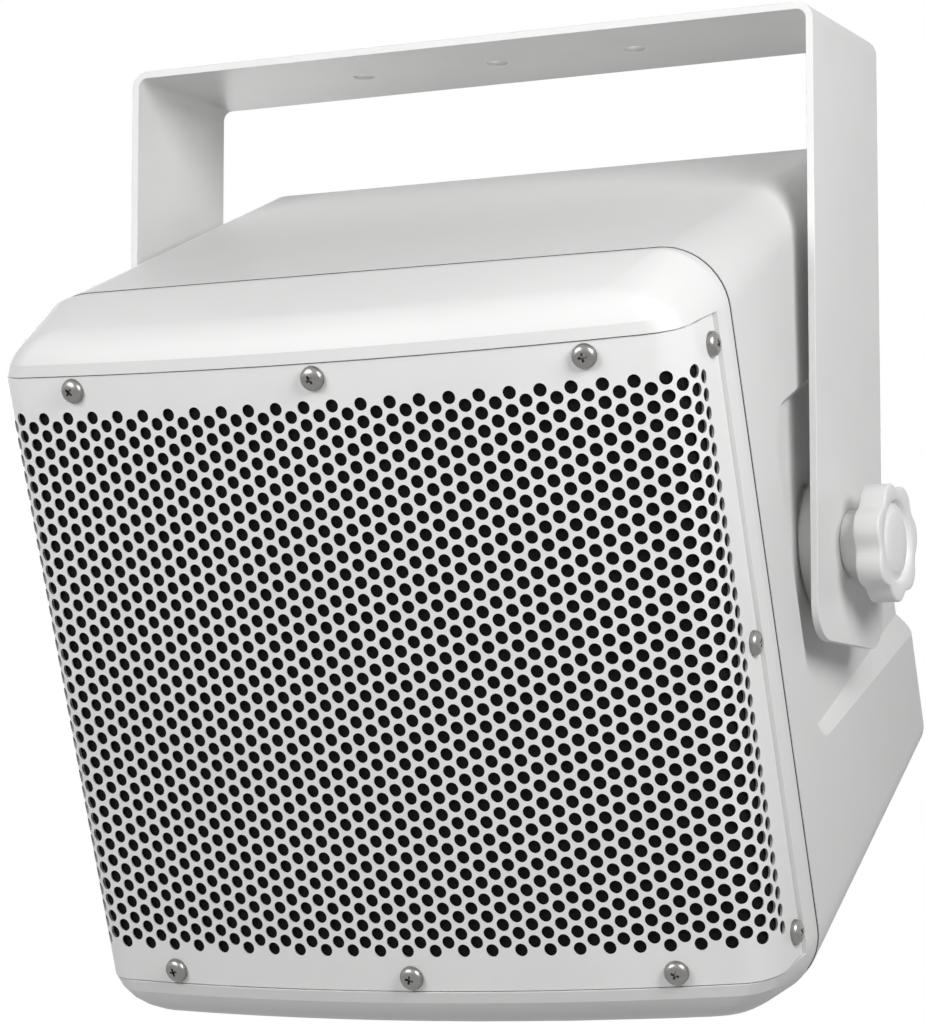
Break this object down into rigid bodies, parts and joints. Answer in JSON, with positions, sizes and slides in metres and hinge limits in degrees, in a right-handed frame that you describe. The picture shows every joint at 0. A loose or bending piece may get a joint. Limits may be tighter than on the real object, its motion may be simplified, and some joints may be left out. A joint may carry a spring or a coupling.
{
  "type": "bracket-mounted loudspeaker",
  "caption": "Weatherproof box loudspeaker with a bowed perforated steel grille, hung between the legs of a U-shaped steel bracket and tilted with a star knob on each side.",
  "frame": {"origin": "middle of the strap's outer face, on the axis of the middle fixing hole", "axes": "+Z out of the strap towards the wall or ceiling that carries it, +Y away from the listener, +X to the right as seen from the front"},
  "size_m": [0.3514, 0.3163, 0.403],
  "materials": {
    "bracket_paint": "light grey-white powder coat, semi-gloss",
    "grille_paint": "white powder coat, satin",
    "frame_plastic": "white moulded plastic, satin",
    "shell_plastic": "off-white moulded plastic, fine texture",
    "knob_plastic": "white moulded plastic, satin",
    "foam": "black open-cell foam",
    "black_rubber": "black, matt",
    "grey_rubber": "light grey, matt",
    "screw_steel": "bright, slightly warm",
    "brass": "turned",
    "black_steel": "black, satin",
    "black_plastic": "black, matt",
    "cone_paper": "black coated paper",
    "spider_cloth": "resin-dipped cloth",
    "dome_silk": "coated silk",
    "copper": "enamelled copper wire",
    "ferrite": "dark grey, matt",
    "yoke_steel": "plated steel",
    "board_green": "green laminate",
    "spacer_plastic": "natural nylon",
    "capacitor_film": "yellow film",
    "laminations": "varnished steel sheets",
    "pad": "white polyester wadding"
  },
  "bodies": {
    "bracket": {"u_bracket": "bracket_paint"},
    "cabinet": {"rear_shell": "shell_plastic", "front_frame": "frame_plastic", "cabinet_gasket": "black_rubber", "grille": "grille_paint", "grille_foam": "foam", "grille_screws": "screw_steel", "shell_screws": "screw_steel", "left_pivot_washer": "grey_rubber", "right_pivot_washer": "grey_rubber", "left_insert": "brass", "right_insert": "brass", "woofer_basket": "black_steel", "woofer_gasket": "black_rubber", "woofer_surround": "black_rubber", "woofer_spider": "spider_cloth", "woofer_top_plate": "yoke_steel", "woofer_magnet": "ferrite", "woofer_yoke": "yoke_steel", "woofer_screws": "screw_steel", "tweeter_post": "black_plastic", "tweeter_cup": "black_steel", "tweeter_horn": "black_plastic", "crossover_board": "board_green", "board_spacers": "spacer_plastic", "board_screws": "screw_steel", "crossover_coils": "copper", "crossover_capacitors": "capacitor_film", "transformer_core": "laminations", "transformer_winding": "copper", "transformer_frame": "yoke_steel", "transformer_screws": "screw_steel", "damping_pad": "pad", "terminal_cover": "shell_plastic", "cover_gasket": "black_rubber", "cover_screws": "screw_steel", "terminal_block": "board_green", "gland_body": "black_plastic", "gland_seal": "black_rubber", "gland_nut": "black_plastic", "gland_locknut": "black_plastic"},
    "left_knob": {"left_knob": "knob_plastic", "left_stud": "screw_steel"},
    "right_knob": {"right_knob": "knob_plastic", "right_stud": "screw_steel"},
    "cone": {"woofer_cone": "cone_paper", "voice_coil": "copper"},
    "tweeter_dome": {"tweeter_dome": "dome_silk"}
  },
  "joints": [
    {"name": "cabinet_tilt", "type": "hinge", "parent": "bracket", "child": "cabinet", "pos_m": [0, 0, -0.21346], "axis": [1, 0, 0], "continuous": true},
    {"name": "left_knob_turn", "type": "hinge", "parent": "cabinet", "child": "left_knob", "pos_m": [-0.16, 0, -0.21346], "axis": [1, 0, 0], "continuous": true},
    {"name": "right_knob_turn", "type": "hinge", "parent": "cabinet", "child": "right_knob", "pos_m": [0.16, 0, -0.21346], "axis": [1, 0, 0], "continuous": true},
    {"name": "cone_stroke", "type": "slide", "parent": "cabinet", "child": "cone", "axis": [0, -0.9348, -0.3551], "range_m": [-0.003, 0.003], "stiffness_N_per_m": 1500, "deforming": ["woofer_surround", "woofer_spider"]},
    {"name": "dome_stroke", "type": "slide", "parent": "cabinet", "child": "tweeter_dome", "axis": [0, -0.9348, -0.3551], "range_m": [-0.0003, 0.0003], "stiffness_N_per_m": 300}
  ]
}
